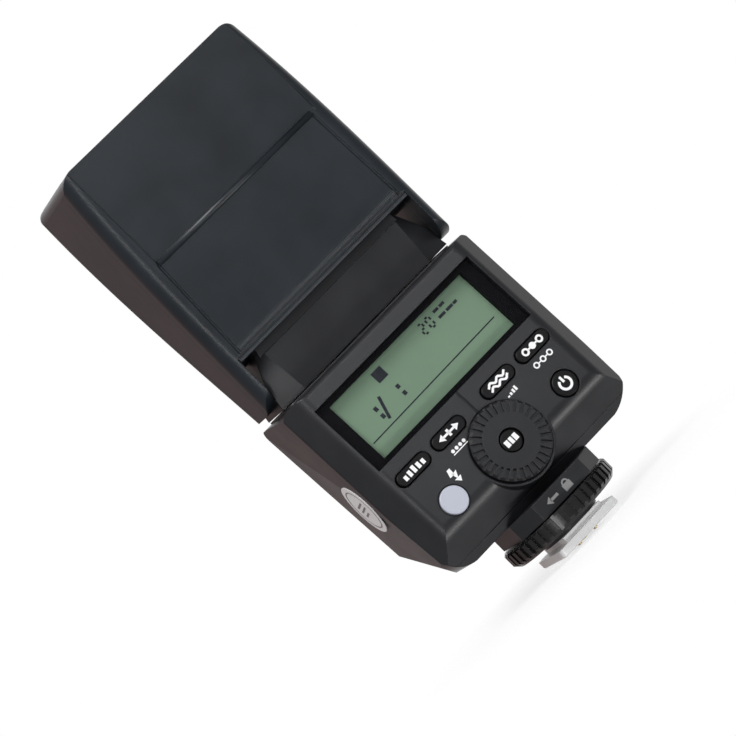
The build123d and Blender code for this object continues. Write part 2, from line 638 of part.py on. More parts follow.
head_inner = head_form(WALL)
front_run = Vector(0, HEAD_FRONT_TOP - HEAD_FRONT_LOW, HEAD_TOP - HEAD_EDGE_Z)
FRONT_PLANE = Plane(
    origin=(0, HEAD_FRONT_LOW, HEAD_EDGE_Z), x_dir=(-1, 0, 0), z_dir=Vector(1, 0, 0).cross(front_run) * -1
)
COVER_DEPTH = 5.0
cover_split = FRONT_PLANE.offset(-COVER_DEPTH)
rear_split = Plane(origin=(0, COVER_Y, 0), x_dir=(1, 0, 0), z_dir=(0, 1, 0))
HEAD_SCREWS = [(x, up) for x in (-25.2, 25.2) for up in (19, 48)]

with BuildPart() as head_solid:
    add(head_form(0))
    with BuildSketch(Plane.XZ) as outline:
        end_half = HEAD_HALF[-1][1] + 0.1
        right = [(40, 60), (40, 104), (end_half + 1.0, HEAD_TOP - 8.5), (end_half, HEAD_TOP)]
        Polygon(*right, *[(-x, z) for x, z in reversed(right)], align=None)
        fillet(outline.vertices().group_by(Axis.Y)[-1], radius=HEAD_END_R)
    extrude(amount=60, both=True, mode=Mode.INTERSECT)
    extrude(hinge_room(0), amount=EAR_INSIDE, both=True, mode=Mode.SUBTRACT)
    with BuildSketch(Plane.YZ) as under:
        with Locations((PIVOT_Y, EAR_Z - 20)):
            Rectangle(80, 40)
        with Locations((EAR_Y, EAR_LOW + EAR_HALF)):
            RectangleRounded(2 * EAR_HALF, 2 * EAR_HALF, EAR_R, mode=Mode.SUBTRACT)
    extrude(under.sketch, amount=40, both=True, mode=Mode.SUBTRACT)

with BuildPart() as head_room:
    add(head_inner)
    slab((-40, 40), (-10, 50), (LENS_SEAT, HEAD_TOP + 1), mode=Mode.SUBTRACT)
    extrude(hinge_room(WALL), amount=40, both=True, mode=Mode.SUBTRACT)

with BuildPart() as head_shell:
    add(head_solid.part)
    add(head_room.part, mode=Mode.SUBTRACT)
    # the lens opening and, behind it, the slot that the two slide-out panels live in
    slab((-25.6, 25.6), (7.6, 33.2), (LENS_SEAT - 1, HEAD_TOP + 1), mode=Mode.SUBTRACT)
    slab((-24.2, 24.2), (0.4, 3.0), (LENS_SEAT - 1, HEAD_TOP + 1), mode=Mode.SUBTRACT)
    # the rear face steps down towards the lens, with a bead along the step and two along the lower lip
    with BuildSketch(Plane.YZ) as step:
        Polygon(
            (HEAD_REAR - 2, FACE_STEP_Z - 3.0),
            (HEAD_REAR + 0.5, FACE_STEP_Z + 0.7),
            (HEAD_REAR + 0.5, HEAD_TOP + 2),
            (HEAD_REAR - 2, HEAD_TOP + 2),
            align=None,
        )
    extrude(step.sketch, amount=FACE_HALF_TOP, both=True, mode=Mode.SUBTRACT)
    for radius, y, z, half in BEADS:
        bar(radius, (-half, y, z), (half, y, z))
    for side in (-1, 1):
        # a fine groove down each side of the rear face and the blind bore in the ear
        groove = Plane(
            origin=(side * FACE_HALF_LOW, HEAD_REAR, HEAD_EDGE_Z),
            z_dir=(side * (FACE_HALF_TOP - FACE_HALF_LOW), 0, FACE_STEP_Z - HEAD_EDGE_Z),
        )
        with BuildSketch(groove):
            Circle(0.35)
        extrude(amount=FACE_STEP_Z - HEAD_EDGE_Z, mode=Mode.SUBTRACT)
        bar(PIN_R + RUNNING, (side * 27, PIVOT_Y, PIVOT_Z), (side * 29.7, PIVOT_Y, PIVOT_Z), mode=Mode.SUBTRACT)
    for x, up in HEAD_SCREWS:
        with BuildSketch(FRONT_PLANE.offset(1)):
            with Locations((x, up)):
                Circle(1.9)
        extrude(amount=-2.2, mode=Mode.SUBTRACT)

with BuildPart() as head_rear_cover:
    add(head_shell.part)
    split(bisect_by=rear_split, keep=Keep.BOTTOM)

with BuildPart() as head_front_cover:
    add(head_shell.part)
    split(bisect_by=cover_split, keep=Keep.TOP)
    with BuildSketch(FRONT_PLANE.offset(-8)):
        with Locations(*HEAD_SCREWS):
            Circle(0.95)
    extrude(amount=8, mode=Mode.SUBTRACT)

with BuildPart() as head_housing:
    add(head_shell.part)
    split(bisect_by=rear_split, keep=Keep.TOP)
    split(bisect_by=cover_split, keep=Keep.BOTTOM)
    slab((-28.4, 28.4), (COVER_Y, COVER_Y + 0.8), (101.5, 124))
    slab((-27.2, 27.2), (COVER_Y, COVER_Y + 0.8), (123, 136.9))
    with BuildSketch(cover_split.offset(-2.4)):
        with Locations(*HEAD_SCREWS):
            Circle(1.55)
        with Locations(*[(x * 1.075, up) for x, up in HEAD_SCREWS]):
            Rectangle(3.4, 2.0)
    extrude(amount=2.4)
    with BuildSketch(cover_split.offset(-2.2)):
        with Locations(*HEAD_SCREWS):
            Circle(0.95)
    extrude(amount=4, mode=Mode.SUBTRACT)

with BuildPart() as head_screws:
    with BuildSketch(FRONT_PLANE.offset(-1.1)):
        with Locations(*HEAD_SCREWS):
            Circle(1.8)
            RegularPolygon(0.6, 6, mode=Mode.SUBTRACT)
    extrude(amount=0.8)
    with BuildSketch(FRONT_PLANE.offset(-1.1)):
        with Locations(*HEAD_SCREWS):
            Circle(0.95)
    extrude(amount=-COVER_DEPTH - 0.9)

with BuildPart() as lens_frame:
    slab((-25.5, 25.5), (7.7, 33.1), (LENS_SEAT - 0.6, HEAD_TOP - 0.1))
    slab((-LENS_HALF, LENS_HALF), (LENS_LOW, LENS_HIGH), (LENS_SEAT - 2, HEAD_TOP + 1), mode=Mode.SUBTRACT)
    chamfer(lens_frame.faces().sort_by(Axis.Z)[-1].inner_wires()[0].edges(), length=0.5)

with BuildPart() as lens:
    slab((-LENS_HALF, LENS_HALF), (LENS_LOW, LENS_HIGH), (LENS_SEAT, HEAD_TOP - 1.2))
    with BuildSketch(Plane.XY.offset(LENS_SEAT)):
        with GridLocations(0, 1.5, 1, 15):
            with Locations((0, (LENS_LOW + LENS_HIGH) / 2)):
                Rectangle(2 * LENS_HALF - 2, 0.5)
    extrude(amount=0.4, mode=Mode.SUBTRACT)

with BuildPart() as bounce_card:
    slab((-23.9, 23.9), (0.6, 1.3), (104, HEAD_TOP - 0.3))
    fillet(bounce_card.edges().filter_by(Axis.Y), radius=2.0)

with BuildPart() as wide_panel:
    slab((-23.9, 23.9), (1.7, 2.7), (104, HEAD_TOP - 0.3))
    fillet(wide_panel.edges().filter_by(Axis.Y), radius=2.0)

# ------------------------------------------------------------------ zoom mechanism
PLATE_LOW, PLATE_TOP = 116.8, 118.2
MOUTH_Z = 134.0
TUBE_Z = 121.8

with BuildPart() as zoom_motor:
    bar(3.5, (SCREW_X, SCREW_Y, 100.6), (SCREW_X, SCREW_Y, 105.0))
    bar(SCREW_R + GAP, (SCREW_X, SCREW_Y, 103.5), (SCREW_X, SCREW_Y, 106), mode=Mode.SUBTRACT)

with BuildPart() as zoom_screw:
    bar(SCREW_R, (SCREW_X, SCREW_Y, 103.7), (SCREW_X, SCREW_Y, 134))

with BuildPart() as guide_rods:
    for side in (-1, 1):
        bar(ROD_R, (side * ROD_X, ROD_Y, 100.4), (side * ROD_X, ROD_Y, LENS_SEAT - 0.7))

with BuildPart() as zoom_carriage:
    slab((-21, 21), (12, 24.4), (PLATE_LOW, PLATE_TOP))
    for side in (-1, 1):
        slab(sorted((side * 20, side * 24.2)), (ROD_Y - 1.9, ROD_Y + 1.9), (PLATE_LOW, PLATE_LOW + 5))
        bar(ROD_R + RUNNING, (side * ROD_X, ROD_Y, 110), (side * ROD_X, ROD_Y, 125), mode=Mode.SUBTRACT)
    slab((SCREW_X - 2.5, SCREW_X + 2.5), (6.0, 12), (PLATE_LOW, PLATE_TOP + 1))
    bar(SCREW_R + GAP, (SCREW_X, SCREW_Y, 110), (SCREW_X, SCREW_Y, 125), mode=Mode.SUBTRACT)


def trough(low, high, low_size, high_size):
    """A trough that widens from one rounded rectangle to another along the light's way."""
    with BuildPart() as form:
        for z, size in ((low, low_size), (high, high_size)):
            with BuildSketch(Plane.XY.offset(z)):
                with Locations((0, ROD_Y)):
                    RectangleRounded(*size, 2)
        loft()
    return form.part


bowl = trough(PLATE_TOP + 0.9, MOUTH_Z + 0.2, (30, 9.5), (41.2, 16.2))
with BuildPart() as reflector:
    add(trough(PLATE_TOP, MOUTH_Z, (32, 11.5), (42.6, 17.6)))
    add(bowl, mode=Mode.SUBTRACT)

with BuildPart() as flash_tube:
    bar(1.7, (-15.2, ROD_Y, TUBE_Z), (15.2, ROD_Y, TUBE_Z))

with BuildPart() as trigger_board:
    slab((2, 22), (5.2, 6.4), (102.5, 132))

with BuildPart() as trigger_coil:
    bar(2.4, (8, 8.8, 104), (8, 8.8, 113))
    slab((14, 20), (6.4, 10), (104, 110))

# ------------------------------------------------------------------ write every piece
pieces = {
    "rear_shell": rear_shell,
    "front_shell": front_shell,
    "lcd_window": lcd_window,
    "lcd_frame": lcd_frame,
    "lcd_module": lcd_module,
    "control_board": control_board,
    "tact_switches": tact_switches,
    "dial_encoder": dial_encoder,
    "main_board": main_board,
    "inverter_transformer": inverter_transformer,
    "battery_tray": battery_tray,
    "battery_cells": battery_cells,
    "battery_contacts": battery_contacts,
    "af_lamp": af_lamp,
    "af_window": af_window,
    "sensor_window": sensor_window,
    "usb_port": usb_port,
    "side_label": side_label,
    "battery_door": battery_door,
    "door_latch": door_latch,
    "select_dial": select_dial,
    "dial_clip": dial_clip,
    "set_button": set_button,
    "power_button": power_button,
    "test_button": test_button,
    "shoe_mount": shoe_mount,
    "shoe_foot": shoe_foot,
    "foot_insulator": foot_insulator,
    "foot_screws": foot_screws,
    "contact_pins": contact_pins,
    "lock_pin": lock_pin,
    "clamp_plate": clamp_plate,
    "lock_ring": lock_ring,
    "neck_rear_shell": neck_rear_shell,
    "neck_front_shell": neck_front_shell,
    "swivel_clip": swivel_clip,
    "tilt_pins": tilt_pins,
    "friction_washers": friction_washers,
    "main_capacitor": main_capacitor,
    "head_rear_cover": head_rear_cover,
    "head_housing": head_housing,
    "head_front_cover": head_front_cover,
    "head_screws": head_screws,
    "lens_frame": lens_frame,
    "lens": lens,
    "bounce_card": bounce_card,
    "wide_panel": wide_panel,
    "zoom_motor": zoom_motor,
    "zoom_screw": zoom_screw,
    "guide_rods": guide_rods,
    "zoom_carriage": zoom_carriage,
    "reflector": reflector,
    "flash_tube": flash_tube,
    "trigger_board": trigger_board,
    "trigger_coil": trigger_coil,
    **pill_keys,
}
for name, piece in pieces.items():
    piece.part.label = name
    export_step(piece.part, f"parts/{name}.step")
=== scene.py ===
"""The looks of the small camera flash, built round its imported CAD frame.

Metres, in the row frame: +X right as seen from behind, +Y forwards to the subject, +Z up the flash.
"""

import json
import math

import bmesh
import bpy
from mathutils import Matrix, Vector


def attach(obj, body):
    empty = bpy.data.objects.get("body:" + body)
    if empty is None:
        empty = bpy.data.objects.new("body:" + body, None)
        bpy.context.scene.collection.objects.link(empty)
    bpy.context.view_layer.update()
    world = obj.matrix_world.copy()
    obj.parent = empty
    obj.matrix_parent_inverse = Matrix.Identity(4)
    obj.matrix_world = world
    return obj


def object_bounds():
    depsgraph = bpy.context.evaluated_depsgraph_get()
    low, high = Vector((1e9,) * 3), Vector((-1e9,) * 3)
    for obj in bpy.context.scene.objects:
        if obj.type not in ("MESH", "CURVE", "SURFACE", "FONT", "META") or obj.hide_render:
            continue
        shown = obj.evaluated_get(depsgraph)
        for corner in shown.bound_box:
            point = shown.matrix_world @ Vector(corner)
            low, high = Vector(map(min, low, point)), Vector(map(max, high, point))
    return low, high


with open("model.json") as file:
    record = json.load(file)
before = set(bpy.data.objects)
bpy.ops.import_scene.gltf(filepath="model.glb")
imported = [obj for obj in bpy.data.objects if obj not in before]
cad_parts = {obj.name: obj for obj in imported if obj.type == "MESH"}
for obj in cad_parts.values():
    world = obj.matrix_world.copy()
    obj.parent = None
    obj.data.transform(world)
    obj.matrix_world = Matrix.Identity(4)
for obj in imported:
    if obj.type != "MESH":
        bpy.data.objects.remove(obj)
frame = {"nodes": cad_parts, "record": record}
cad_low, cad_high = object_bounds()
nodes = frame["nodes"]
MM = 0.001


# ------------------------------------------------------------------ camera
AZIMUTH, ELEVATION, ROLL = math.radians(18.07), math.radians(1.62), math.radians(-45.18)
DISTANCE = 0.8864
SENSOR = 36.0
FOCAL = 5.31427  # focal length over the sensor's width
TARGET = Vector((0, 0, 0.060))
TARGET_RIGHT, TARGET_UP = 0.035584, 0.025394  # the target's place off the picture's centre, in picture widths

back = Vector(
    (-math.sin(AZIMUTH) * math.cos(ELEVATION), -math.cos(AZIMUTH) * math.cos(ELEVATION), math.sin(ELEVATION))
)
eye = TARGET + back * DISTANCE
level = (-back).cross(Vector((0, 0, 1))).normalized()
upright = level.cross(-back)
right = level * math.cos(ROLL) + upright * math.sin(ROLL)
up = upright * math.cos(ROLL) - level * math.sin(ROLL)
aim = TARGET - (right * TARGET_RIGHT + up * TARGET_UP) * DISTANCE / FOCAL
sight = (aim - eye).normalized()
right = (right - sight * right.dot(sight)).normalized()
up = right.cross(sight)

camera = bpy.data.objects.new("camera", bpy.data.cameras.new("camera"))
camera.data.sensor_width = SENSOR
camera.data.lens = SENSOR * FOCAL
camera.data.clip_start, camera.data.clip_end = 0.05, 20
turn = Matrix((right, up, -sight)).transposed().to_4x4()
camera.matrix_world = Matrix.Translation(eye) @ turn
bpy.context.scene.collection.objects.link(camera)
bpy.context.scene.camera = camera


# ------------------------------------------------------------------ materials
GRAIN_SCALE = 2600  # cells of moulded grain to the metre
GLOSS_DRIFT = 0.05  # how far a moulding's roughness wanders
BEVEL_SAMPLES = 4


def new_material(name):
    """An empty node material with its shader and output."""
    material = bpy.data.materials.new(name)
    material.use_nodes = True
    tree = material.node_tree
    return material, tree, tree.nodes["Principled BSDF"]


def set_inputs(node, **values):
    """Sets a node's inputs by their labels, with underscores for spaces."""
    for label, value in values.items():
        node.inputs[label.replace("_", " ")].default_value = value


def rgba(colour):
    return (*colour, 1.0)


def noise(tree, scale, detail=3.0, rough=0.55, vector=None):
    """Noise over the object's own coordinates, in cells to the metre."""
    node = tree.nodes.new("ShaderNodeTexNoise")
    set_inputs(node, Scale=scale, Detail=detail, Roughness=rough)
    if vector is None:
        place = tree.nodes.get("place") or tree.nodes.new("ShaderNodeTexCoord")
        place.name = "place"
        vector = place.outputs["Object"]
    tree.links.new(vector, node.inputs["Vector"])
    return node.outputs["Fac"]


def remap(tree, value, low, high, out_low, out_high):
    """A value remapped between two ranges."""
    node = tree.nodes.new("ShaderNodeMapRange")
    for label, number in (("From Min", low), ("From Max", high), ("To Min", out_low), ("To Max", out_high)):
        node.inputs[label].default_value = number
    tree.links.new(value, node.inputs["Value"])
    return node.outputs["Result"]


def mix(tree, amount, first, second):
    """Two colours, mixed by a value."""
    node = tree.nodes.new("ShaderNodeMix")
    node.data_type = "RGBA"
    for socket, source in ((node.inputs[6], first), (node.inputs[7], second)):
        if hasattr(source, "links"):
            tree.links.new(source, socket)
        else:
            socket.default_value = rgba(source)
    if hasattr(amount, "links"):
        tree.links.new(amount, node.inputs[0])
    else:
        node.inputs[0].default_value = amount
    return node.outputs[2]


def add_bump(tree, shader, height, distance, edge=None):
    """Bump on the shader's normal, over softened edges where an edge radius is given."""
    bump = tree.nodes.new("ShaderNodeBump")
    set_inputs(bump, Strength=1.0, Distance=distance)
    tree.links.new(height, bump.inputs["Height"])
    if edge:
        soft = tree.nodes.new("ShaderNodeBevel")
        soft.samples = BEVEL_SAMPLES
        set_inputs(soft, Radius=edge)
        tree.links.new(soft.outputs["Normal"], bump.inputs["Normal"])
    tree.links.new(bump.outputs["Normal"], shader.inputs["Normal"])


def plastic(name, colour, rough, grain=0.000012, edge=0.0002, spread=0.25, shine=0.5):
    """Moulded plastic: fine spark-eroded grain, a faint drift of colour and gloss, and softened edges."""
    material, tree, shader = new_material(name)
    drift = noise(tree, 55, 4, 0.6)
    fine = noise(tree, GRAIN_SCALE, 2, 0.5)
    dark = tuple(c * (1 - spread) for c in colour)
    light = tuple(c * (1 + spread) for c in colour)
    tree.links.new(mix(tree, remap(tree, drift, 0.3, 0.7, 0, 1), dark, light), shader.inputs["Base Color"])
    gloss = remap(tree, drift, 0.25, 0.75, rough - GLOSS_DRIFT, rough + GLOSS_DRIFT)
    tree.links.new(gloss, shader.inputs["Roughness"])
    set_inputs(shader, IOR=1.5, Specular_IOR_Level=shine)
    add_bump(tree, shader, fine, grain, edge=edge)
    return material


def metal(name, colour, rough, brushed=None, metallic=1.0):
    """Bright metal with fine lines from rolling or turning."""
    material, tree, shader = new_material(name)
    place = tree.nodes.new("ShaderNodeTexCoord")
    place.name = "place"
    stretch = tree.nodes.new("ShaderNodeMapping")
    stretch.inputs["Scale"].default_value = brushed or (1, 1, 1)
    tree.links.new(place.outputs["Object"], stretch.inputs["Vector"])
    lines = noise(tree, 900, 3, 0.6, stretch.outputs["Vector"])
    cloud = noise(tree, 120, 3)
    duller = tuple(c * 0.86 for c in colour)
    tree.links.new(mix(tree, cloud, duller, colour), shader.inputs["Base Color"])
    tree.links.new(remap(tree, lines, 0.3, 0.7, rough - 0.07, rough + 0.09), shader.inputs["Roughness"])
    set_inputs(shader, Metallic=metallic)
    add_bump(tree, shader, lines, 0.00001, edge=0.00015)
    return material


def pane(name, rough, cover):
    """A thin clear cover: a little reflection over what lies behind it."""
    material, tree, shader = new_material(name)
    smear = noise(tree, 90, 4)
    tree.links.new(remap(tree, smear, 0.3, 0.7, rough, rough + 0.04), shader.inputs["Roughness"])
    tree.links.new(remap(tree, smear, 0.3, 0.7, cover * 0.9, cover), shader.inputs["Alpha"])
    set_inputs(shader, Base_Color=(0.01, 0.01, 0.012, 1), IOR=1.49)
    return material


def clear(name, colour, rough):
    """Clear moulded plastic or glass."""
    material, tree, shader = new_material(name)
    smear = noise(tree, 90, 4)
    tree.links.new(remap(tree, smear, 0.3, 0.7, rough, rough + 0.05), shader.inputs["Roughness"])
    set_inputs(shader, IOR=1.49, Transmission_Weight=1.0)
    paler = tuple(min(1, c * 1.02) for c in colour)
    tree.links.new(mix(tree, smear, colour, paler), shader.inputs["Base Color"])
    return material


# one material for each material slot of the record
SLOTS = {
    "shell_black": plastic("satin_black_shell", (0.013, 0.0135, 0.0155), 0.36, edge=0.0004),
    "head_black": plastic("satin_black_head", (0.010, 0.0135, 0.0175), 0.34, edge=0.0004),
    "key_black": plastic("black_key", (0.004, 0.004, 0.0045), 0.42, shine=0.22),
    "frame_black": plastic("matt_black_frame", (0.0025, 0.0025, 0.0035), 0.60, shine=0.08),
    "lamp_white": plastic("milky_lamp", (0.47, 0.485, 0.56), 0.30, grain=0.000004, spread=0.03),
    "window_clear": pane("clear_window", 0.04, 0.06),
    "lcd_green": plastic(
        "display_green", (0.192, 0.290, 0.199), 0.55, grain=0.000002, spread=0.04, shine=0.2
    ),
    "board_green": plastic("circuit_board", (0.02, 0.11, 0.05), 0.40),
    "part_black": plastic("black_part", (0.02, 0.02, 0.02), 0.30),
    "coil_copper": metal("wound_copper", (0.70, 0.36, 0.18), 0.35, (1, 40, 1)),
    "bright_steel": metal("bright_steel", (0.97, 0.97, 0.96), 0.34, (1, 30, 1), 0.15),
    "screw_steel": metal("dark_screw", (0.20, 0.20, 0.21), 0.35),
    "spring_steel": metal("spring_steel", (0.55, 0.55, 0.54), 0.35),
    "pin_brass": metal("gilt_pin", (0.83, 0.66, 0.36), 0.25),
    "cell_wrap": plastic("cell_sleeve", (0.05, 0.20, 0.08), 0.22, grain=0.000003),
    "lamp_lens": clear("red_lamp_lens", (0.6, 0.04, 0.03), 0.08),
    "window_red": plastic("dark_red_window", (0.05, 0.003, 0.004), 0.10, grain=0.000002),
    "window_dark": plastic("dark_sensor_window", (0.006, 0.004, 0.006), 0.08, grain=0.000002),
    "label_white": plastic("paper_label", (0.96, 0.96, 0.96), 0.50, grain=0.000006, spread=0.03),
    "card_white": plastic("bounce_card", (0.72, 0.72, 0.70), 0.50, spread=0.03),
    "diffuser_clear": clear("ribbed_diffuser", (0.93, 0.95, 0.95), 0.12),
    "mirror_silver": metal("mirror_reflector", (0.88, 0.88, 0.89), 0.12),
    "tube_glass": clear("flash_tube_glass", (0.96, 0.97, 0.98), 0.03),
}
slot_of = {part["node"]: part["material_slot"] for part in frame["record"]["subparts"]}
for name, node in nodes.items():
    node.data.materials.clear()
    node.data.materials.append(SLOTS[slot_of[name]])
# the dial and the ring have their own finish, with sharper edges on their ribs
nodes["select_dial"].data.materials[0] = plastic("black_dial", (0.008, 0.0085, 0.010), 0.36, edge=0.00015)
nodes["lock_ring"].data.materials[0] = plastic(
    "black_ring", (0.003, 0.003, 0.0035), 0.24, edge=0.00005, shine=0.8
)


# ------------------------------------------------------------------ floor and light
FLOOR_RADIUS = 0.07


def lamp(name, place, toward, size, power, colour=(1, 1, 1)):
    """A rectangular soft light."""
    light = bpy.data.lights.new(name, "AREA")
    light.shape = "RECTANGLE"
    light.size, light.size_y = size
    light.energy = power
    light.color = colour
    holder = bpy.data.objects.new(name, light)
    holder.location = place
    holder.rotation_euler = (Vector(toward) - Vector(place)).to_track_quat("-Z", "Y").to_euler()
    bpy.context.scene.collection.objects.link(holder)


world = bpy.data.worlds.new("studio")
world.use_nodes = True
bpy.context.scene.world = world
# a white sweep ahead of the object on the right, a warm one on the left, and a dimmer room behind it
sky = world.node_tree
toward = sky.nodes.new("ShaderNodeTexCoord")
parts = sky.nodes.new("ShaderNodeSeparateXYZ")
sky.links.new(toward.outputs["Generated"], parts.inputs["Vector"])
both = sky.nodes.new("ShaderNodeMath")
both.operation = "MULTIPLY"
sky.links.new(remap(sky, parts.outputs["Y"], 0.05, 0.55, 0.0, 1.0), both.inputs[0])
sky.links.new(remap(sky, parts.outputs["X"], -0.06, 0.17, 0.0, 1.0), both.inputs[1])
ahead = remap(sky, parts.outputs["Y"], 0.1, 0.5, 0.0, 1.0)
room = mix(sky, ahead, (0.26, 0.262, 0.268), (0.30, 0.225, 0.22))
sky.links.new(mix(sky, both.outputs[0], room, (1, 1, 1)), sky.nodes["Background"].inputs["Color"])
sky.nodes["Background"].inputs["Strength"].default_value = 1.0

floor_mesh = bpy.data.meshes.new("floor")
form = bmesh.new()
bmesh.ops.create_circle(form, cap_ends=True, radius=FLOOR_RADIUS, segments=96)
form.to_mesh(floor_mesh)
form.free()
floor = bpy.data.objects.new("floor", floor_mesh)
floor.location.z = cad_low.z - 0.0001
bpy.context.scene.collection.objects.link(floor)
floor_paint, tree, shader = new_material("pale_floor")
set_inputs(shader, Base_Color=(0.95, 0.95, 0.95, 1), Roughness=0.8)
spot = tree.nodes.new("ShaderNodeTexCoord")
scaled = tree.nodes.new("ShaderNodeMapping")
scaled.inputs["Scale"].default_value = (1 / FLOOR_RADIUS,) * 3
fade = tree.nodes.new("ShaderNodeTexGradient")
fade.gradient_type = "SPHERICAL"
tree.links.new(spot.outputs["Object"], scaled.inputs["Vector"])
tree.links.new(scaled.outputs["Vector"], fade.inputs["Vector"])
tree.links.new(remap(tree, fade.outputs["Fac"], 0.25, 0.95, 0.0, 0.3), shader.inputs["Alpha"])
floor.data.materials.append(floor_paint)

lamp("key_above", (-0.30, -0.45, 0.85), (0, 0, 0.09), (0.5, 0.4), 7.0)
lamp("strip_left", (-0.42, -0.72, 0.12), (0, 0, 0.09), (0.08, 0.6), 1.0)
lamp("panel_light", (0.30, -0.95, 0.46), (0, 0, 0.04), (0.35, 0.2), 1.4, (0.96, 0.98, 1.0))
lamp("low_rear", (0.15, -0.55, -0.42), (0, 0, 0.04), (0.7, 0.10), 2.2)

bpy.context.scene.view_settings.view_transform = "Standard"


# ------------------------------------------------------------------ printed signs
LEAN = math.radians(7.6)
PANEL_MIDDLE = Vector((0, -8.34, 53.42)) * MM  # the middle of the display window, on the panel's face
PANEL_UP = Vector((0, math.sin(LEAN), math.cos(LEAN)))
PANEL_OUT = Vector((0, -math.cos(LEAN), math.sin(LEAN)))
ACROSS = Vector((1, 0, 0))
INK_THICK = 0.04  # mm
MITRE_LIMIT = 0.4  # keeps a sharp turn's mitre short


def line(points, width, closed=False):
    """Quads along a line of points, mitred at its turns."""
    points = [Vector(p) for p in points]
    count = len(points)
    sides = []
    for i, here in enumerate(points):
        before = points[i - 1] if closed or i else None
        after = points[(i + 1) % count] if closed or i + 1 < count else None
        steps = ((before, here), (here, after))
        ways = [(b - a).normalized() for a, b in steps if a is not None and b is not None]
        way = sum(ways, Vector((0, 0))).normalized()
        across = Vector((-way.y, way.x))
        reach = width / 2 / max(MITRE_LIMIT, across.dot(Vector((-ways[0].y, ways[0].x))))
        sides.append((here - across * reach, here + across * reach))
    runs = range(count if closed else count - 1)
    return [(sides[i][0], sides[(i + 1) % count][0], sides[(i + 1) % count][1], sides[i][1]) for i in runs]


def arc(middle, radius, start, end, width, steps=20):
    """A bent line, in degrees anticlockwise from the right."""
    angles = [math.radians(start + (end - start) * i / steps) for i in range(steps + 1)]
    return line([(middle[0] + radius * math.cos(a), middle[1] + radius * math.sin(a)) for a in angles], width)


def disc(middle, radius, steps=20):
    """A filled round dot."""
    angles = [2 * math.pi * i / steps for i in range(steps)]
    return [[(middle[0] + radius * math.cos(a), middle[1] + radius * math.sin(a)) for a in angles]]


def block(left, low, right, high):
    """A filled rectangle."""
    return [[(left, low), (right, low), (right, high), (left, high)]]


def sign(name, body, material, shapes, place=(0, 0), height=0.0, plane=None):
    """Thin printed ink: flat shapes in millimetres, set out round a place and a height on a plane."""
    origin, across, upward, outward = plane or (PANEL_MIDDLE, ACROSS, PANEL_UP, PANEL_OUT)
    mesh = bpy.data.meshes.new(name)
    form = bmesh.new()
    for shape in shapes:
        rings = []
        for lift in (height, height + INK_THICK):
            ring = []
            for x, y in shape:
                u, v = place[0] + x, place[1] + y
                ring.append(form.verts.new(origin + (across * u + upward * v + outward * lift) * MM))
            rings.append(ring)
        form.faces.new(rings[1])
        for i in range(len(shape)):
            j = (i + 1) % len(shape)
            form.faces.new((rings[0][i], rings[0][j], rings[1][j], rings[1][i]))
    bmesh.ops.recalc_face_normals(form, faces=form.faces)
    form.to_mesh(mesh)
    form.free()
    mesh.materials.append(material)
    piece = bpy.data.objects.new(name, mesh)
    bpy.context.scene.collection.objects.link(piece)
    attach(piece, body)


ink = plastic("white_ink", (0.86, 0.86, 0.86), 0.45, grain=0.000001, edge=None, spread=0.02)
grey_ink = plastic("grey_ink", (0.22, 0.22, 0.22), 0.45, grain=0.000001, edge=None, spread=0.02)
segment_ink = plastic("display_segment", (0.004, 0.006, 0.016), 0.5, grain=0.000001, edge=None, spread=0.02)

# places on the panel, and heights of the printed faces over it, in millimetres
KEY_OUTER, KEY_INNER, KEY_UP, KEY_TOP = 20.2, 8.4, -15.0, 0.61
POWER_PLACE, POWER_TOP = (19.0, -26.2), 0.31
DIAL_PLACE, SET_TOP = (0, -26.4), 1.31
ON_PANEL = 0.01

bars = [
    shape
    for x in (-2.8, -1.4, 0.0, 1.4, 2.8)
    for shape in block(x - 0.45, -0.9, x + 0.45, 0.9 - 0.2 * abs(x))
]
arrows = (
    line([(-2.0, 0), (2.0, 0)], 0.55)
    + [[(-3.2, 0), (-1.7, -0.95), (-1.7, 0.95)], [(3.2, 0), (1.7, 0.95), (1.7, -0.95)]]
    + block(-0.35, -0.9, 0.35, 0.9)
)
waves = [
    piece
    for y in (-0.55, 0.55)
    for piece in line([(x * 0.42, y + 0.38 * math.sin(x * 1.1)) for x in range(-7, 8)], 0.55)
]
links = arc((-2.3, 0), 0.72, 0, 360, 0.5) + disc((0, 0), 0.85) + arc((2.3, 0), 0.72, 0, 360, 0.5)
links += line([(-1.5, 0), (-0.8, 0)], 0.45) + line([(0.8, 0), (1.5, 0)], 0.45)
sign("mode_sign", "mode_button", ink, bars, (-KEY_OUTER, KEY_UP), KEY_TOP)
sign("zoom_sign", "zoom_button", ink, arrows, (-KEY_INNER, KEY_UP), KEY_TOP)
sign("sync_sign", "sync_button", ink, waves, (KEY_INNER, KEY_UP), KEY_TOP)
sign("group_sign", "group_button", ink, links, (KEY_OUTER, KEY_UP), KEY_TOP)
power = arc((0, -0.1), 1.45, 125, 415, 0.62, 28) + line([(0, 0.3), (0, 1.9)], 0.62)
sign("power_sign", "power_button", ink, power, POWER_PLACE, POWER_TOP)
set_bars = block(-1.85, -0.85, -0.75, 0.85) + block(-0.45, -0.85, 0.45, 0.85) + block(0.75, -0.85, 1.85, 0.85)
sign("set_sign", "set_button", ink, set_bars, DIAL_PLACE, SET_TOP)
bolt = [
    [(0.2, 2.0), (-0.7, 2.0), (-1.3, 0.25), (0.05, 0.25)],
    [(-0.45, 0.55), (1.0, 0.75), (0.1, -0.9), (-0.2, -0.6)],
    [(-0.9, -0.75), (1.0, -0.75), (0.2, -2.0)],
]
sign("bolt_sign", "body", ink, bolt, (-14.55, -22.6), ON_PANEL)
dots = [shape for x in (-1.8, -0.6, 0.6, 1.8) for shape in disc((x, 0), 0.45)]
